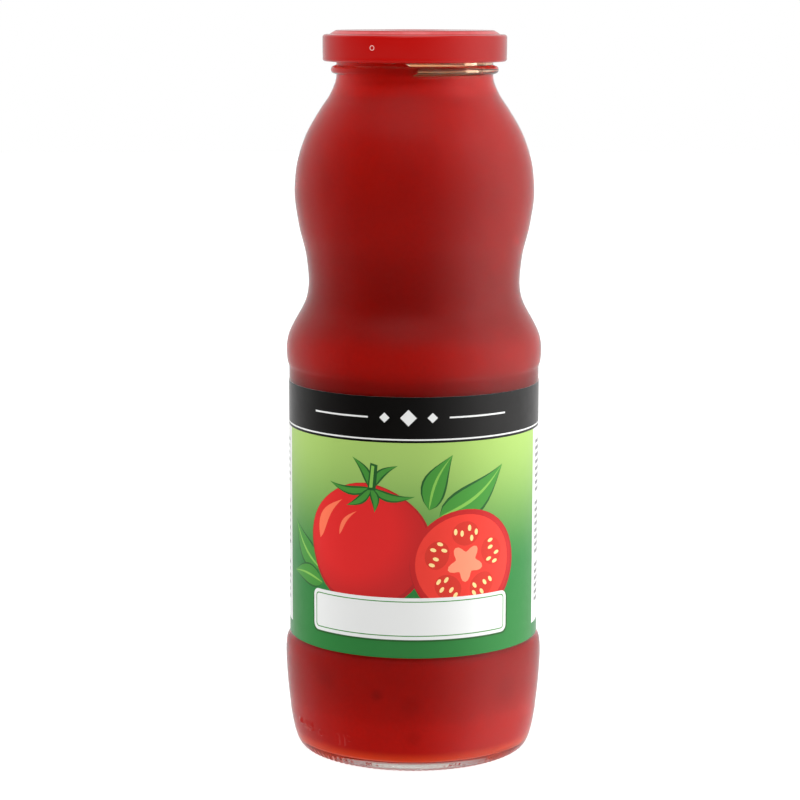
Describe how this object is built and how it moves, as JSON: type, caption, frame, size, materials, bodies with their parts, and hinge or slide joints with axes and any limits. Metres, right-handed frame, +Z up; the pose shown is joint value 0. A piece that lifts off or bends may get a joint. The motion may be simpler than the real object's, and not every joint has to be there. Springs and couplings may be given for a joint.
{
  "type": "passata bottle",
  "caption": "Waisted clear glass bottle filled with tomato passata, shut by a wide red twist-off metal lid and wrapped with a paper label round its lower half.",
  "frame": {"origin": "centre of the ring that the bottle stands on", "axes": "+Z up along the bottle's axis, -Y towards the label's front panel"},
  "size_m": [0.0776, 0.0776, 0.216],
  "materials": {
    "clear_glass": "clear flint glass, moulded and fire polished",
    "passata": "smooth sieved tomato, wet and opaque",
    "red_enamel": "gloss stoved enamel on tinplate",
    "label_paper": "coated label paper, printed, semi-gloss"
  },
  "bodies": {
    "root": {"bottle": "clear_glass", "passata": "passata", "cap": "red_enamel", "label": "label_paper"}
  },
  "joints": []
}
